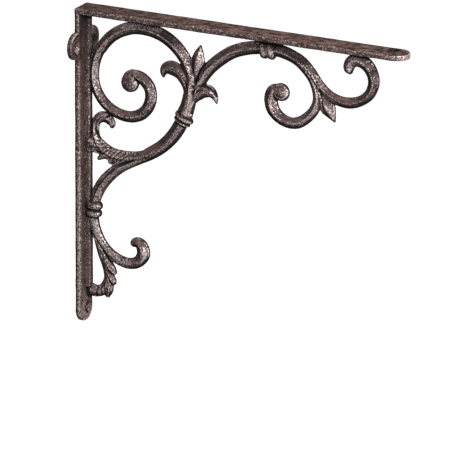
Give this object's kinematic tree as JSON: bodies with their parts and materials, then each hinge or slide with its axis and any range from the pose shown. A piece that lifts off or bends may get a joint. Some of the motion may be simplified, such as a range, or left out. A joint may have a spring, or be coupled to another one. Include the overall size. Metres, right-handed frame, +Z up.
{
  "type": "ornate shelf bracket",
  "caption": "Cast iron shelf bracket: a wall arm and a shelf arm at a right angle, filled with volutes, leaves and collars, screwed to a wall to carry a shelf.",
  "frame": {"origin": "on the flat back of the wall arm, in the middle plane, midway between the two upper screw holes", "axes": "+X out of the wall along the shelf arm, +Z up, +Y along the wall"},
  "size_m": [0.25, 0.041, 0.2238],
  "materials": {
    "antiqued_cast_iron": "rough sand casting, dark brown antique finish, rubbed lighter on ridges and edges"
  },
  "bodies": {
    "root": {"shelf_bracket": "antiqued_cast_iron"}
  },
  "joints": []
}
